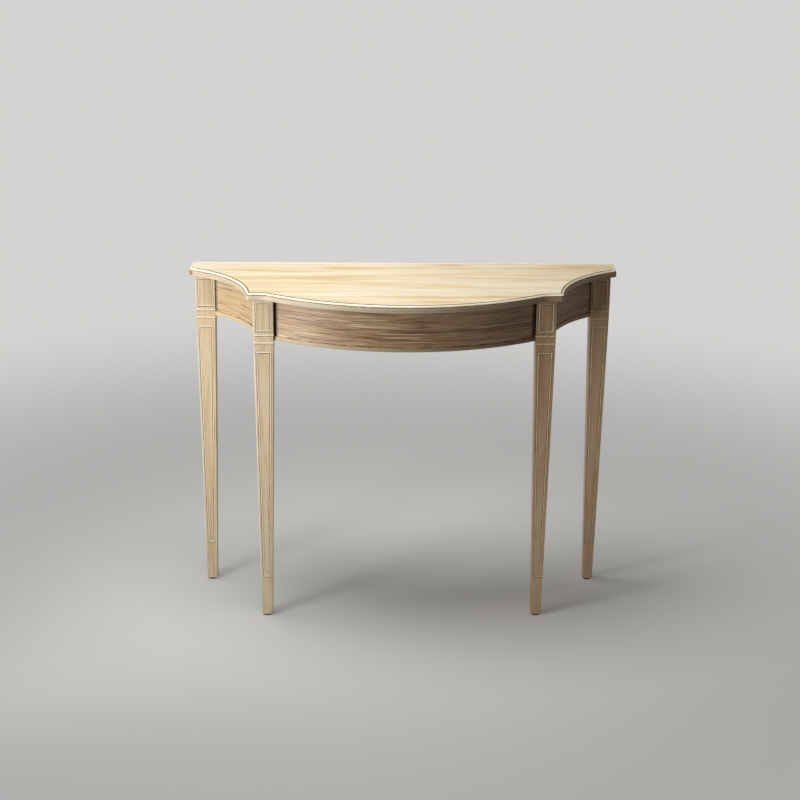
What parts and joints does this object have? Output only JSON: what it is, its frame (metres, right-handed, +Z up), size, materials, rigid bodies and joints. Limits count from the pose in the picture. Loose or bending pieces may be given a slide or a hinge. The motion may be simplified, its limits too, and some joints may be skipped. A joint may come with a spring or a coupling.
{
  "type": "demilune table",
  "caption": "Serpentine demilune side table with a bowed front, scooped sides, beaded aprons and square tapered legs with raised line panels, in a limed wood finish.",
  "frame": {"origin": "floor, below the middle of the table's box", "axes": "+X to the viewer's right along the straight back, +Y to the wall, +Z up; the bowed front faces -Y"},
  "size_m": [0.96, 0.3659, 0.762],
  "materials": {
    "top_wood": "satin limed wood with straw-coloured grain",
    "lipping_wood": "satin limed wood, dark glaze in the quirk",
    "leg_wood": "satin tan glaze over limed wood, pale on the raised lines",
    "apron_wood": "satin brown glaze with streaks along the board",
    "inner_wood": "bare sawn wood",
    "steel": "zinc plated",
    "glide_plastic": "matte black"
  },
  "bodies": {
    "root": {"top_panel": "top_wood", "lipping_front": "lipping_wood", "lipping_side_left": "lipping_wood", "lipping_side_right": "lipping_wood", "lipping_end_left": "lipping_wood", "lipping_end_right": "lipping_wood", "leg_front_left": "leg_wood", "leg_front_right": "leg_wood", "leg_rear_left": "leg_wood", "leg_rear_right": "leg_wood", "apron_front": "apron_wood", "apron_left": "apron_wood", "apron_right": "apron_wood", "apron_back": "inner_wood", "cock_bead_front": "apron_wood", "cock_bead_left": "apron_wood", "cock_bead_right": "apron_wood", "centre_rail": "inner_wood", "glue_block_front_left": "inner_wood", "glue_block_front_right": "inner_wood", "glue_block_back_left": "inner_wood", "glue_block_back_right": "inner_wood", "glue_block_side_left": "inner_wood", "glue_block_side_right": "inner_wood", "top_screws": "steel", "glide_front_left": "glide_plastic", "glide_front_right": "glide_plastic", "glide_rear_left": "glide_plastic", "glide_rear_right": "glide_plastic", "glide_nails": "steel"}
  },
  "joints": []
}
